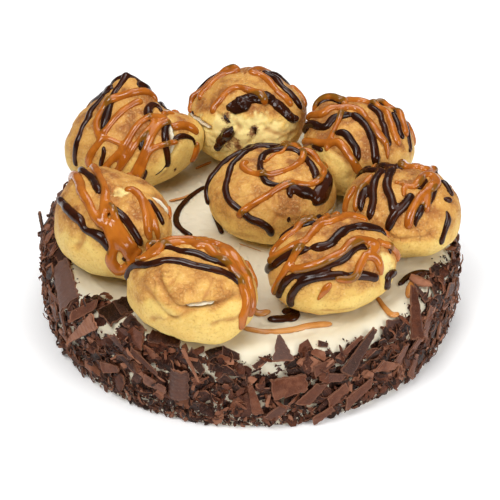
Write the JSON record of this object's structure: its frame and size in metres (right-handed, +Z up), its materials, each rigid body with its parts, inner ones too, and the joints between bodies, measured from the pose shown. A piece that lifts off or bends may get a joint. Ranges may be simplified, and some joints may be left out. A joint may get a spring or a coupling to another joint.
{
  "type": "cream cake",
  "caption": "Round cream cake dressed with chocolate shavings and topped with filled choux buns drizzled with chocolate and caramel sauce.",
  "frame": {"origin": "centre of the cake's flat base, on the cake's axis", "axes": "+Z up through the cake, +X to the right and -Y towards the front, where the picture is taken from"},
  "size_m": [0.2151, 0.2167, 0.0967],
  "materials": {
    "cream": "satin whipped cream",
    "choux_crust": "baked golden crust with glossy sauce",
    "chocolate": "matt broken chocolate"
  },
  "bodies": {
    "root": {"cake_body": "cream", "bun_back_left": "choux_crust", "bun_back": "choux_crust", "bun_back_right": "choux_crust", "bun_middle": "choux_crust", "bun_left": "choux_crust", "bun_front": "choux_crust", "bun_front_right": "choux_crust", "bun_right": "choux_crust", "filling_back_left": "cream", "filling_back": "cream", "filling_middle": "cream", "filling_left": "cream", "filling_front": "cream", "chocolate_strip_left_rim": "chocolate", "chocolate_shard_left": "chocolate", "chocolate_curl_front": "chocolate", "chocolate_plate_front": "chocolate", "chocolate_strip_front": "chocolate", "chocolate_strip_right": "chocolate", "chocolate_leaf_right": "chocolate", "chocolate_block_right": "chocolate", "chocolate_plate_left": "chocolate", "chocolate_flake_left_rim": "chocolate", "chocolate_flake_front_rim": "chocolate", "chocolate_drop_front_rim": "chocolate", "chocolate_flake_standing": "chocolate"}
  },
  "joints": []
}
